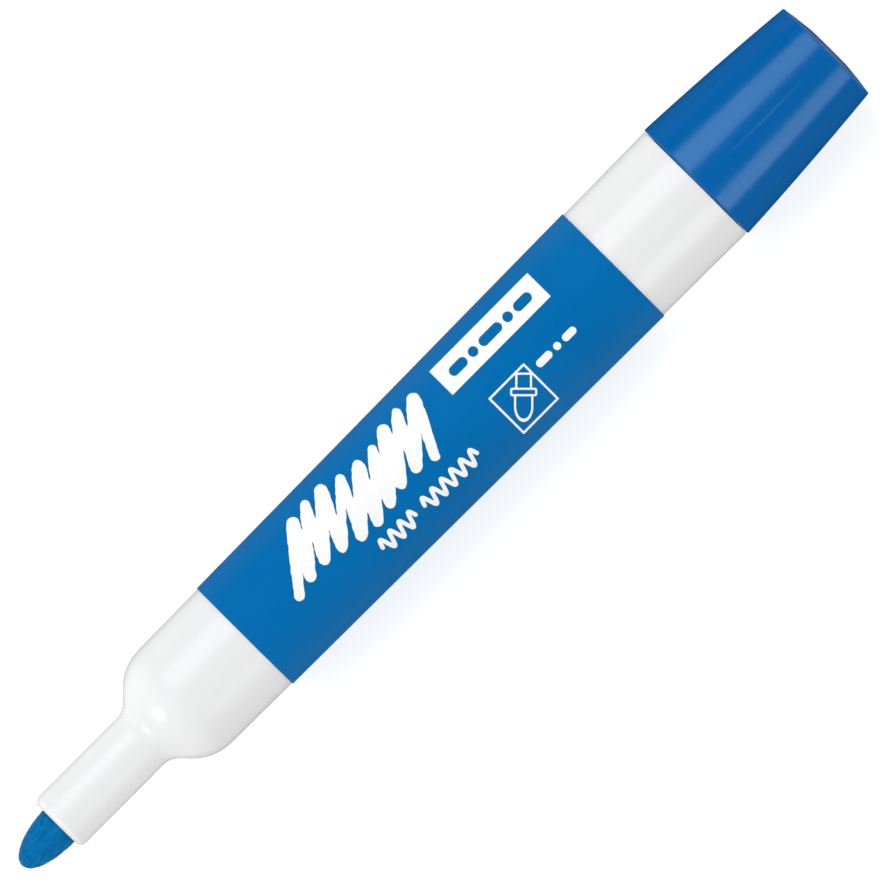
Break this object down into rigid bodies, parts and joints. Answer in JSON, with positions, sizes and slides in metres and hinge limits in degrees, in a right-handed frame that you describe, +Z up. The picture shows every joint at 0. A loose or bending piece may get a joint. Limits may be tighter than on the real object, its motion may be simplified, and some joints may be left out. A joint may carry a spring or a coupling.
{
  "type": "felt tip marker",
  "caption": "Bullet felt tip marker with a tapered round barrel, a printed label sleeve, an ink store inside and a grooved cap that pushes onto the rear plug.",
  "frame": {"origin": "middle of the bounding box at its base, on the surface that the marker lies on, under the middle of its length", "axes": "+X along the marker from the nib to the cap, +Y across it, +Z up; the printed front of the label faces +Z"},
  "size_m": [0.1336, 0.017, 0.017],
  "materials": {
    "barrel_plastic": "smooth white polypropylene",
    "label_print": "satin printed film, blue with white marks",
    "nib_fibre": "felt soaked in blue ink",
    "reservoir_fibre": "fibre soaked in blue ink",
    "wrap_film": "thin clear film",
    "plug_plastic": "smooth blue polypropylene",
    "cap_plastic": "smooth blue polypropylene",
    "liner_plastic": "soft natural polyethylene"
  },
  "bodies": {
    "marker_body": {"barrel": "barrel_plastic", "label_film": "label_print", "nib": "nib_fibre", "ink_reservoir": "reservoir_fibre", "reservoir_wrap": "wrap_film", "end_plug": "plug_plastic"},
    "cap": {"cap_shell": "cap_plastic", "cap_liner": "liner_plastic"}
  },
  "joints": [
    {"name": "cap_slide", "type": "slide", "parent": "marker_body", "child": "cap", "axis": [1, 0, 0], "range_m": [0, 0.03]}
  ]
}
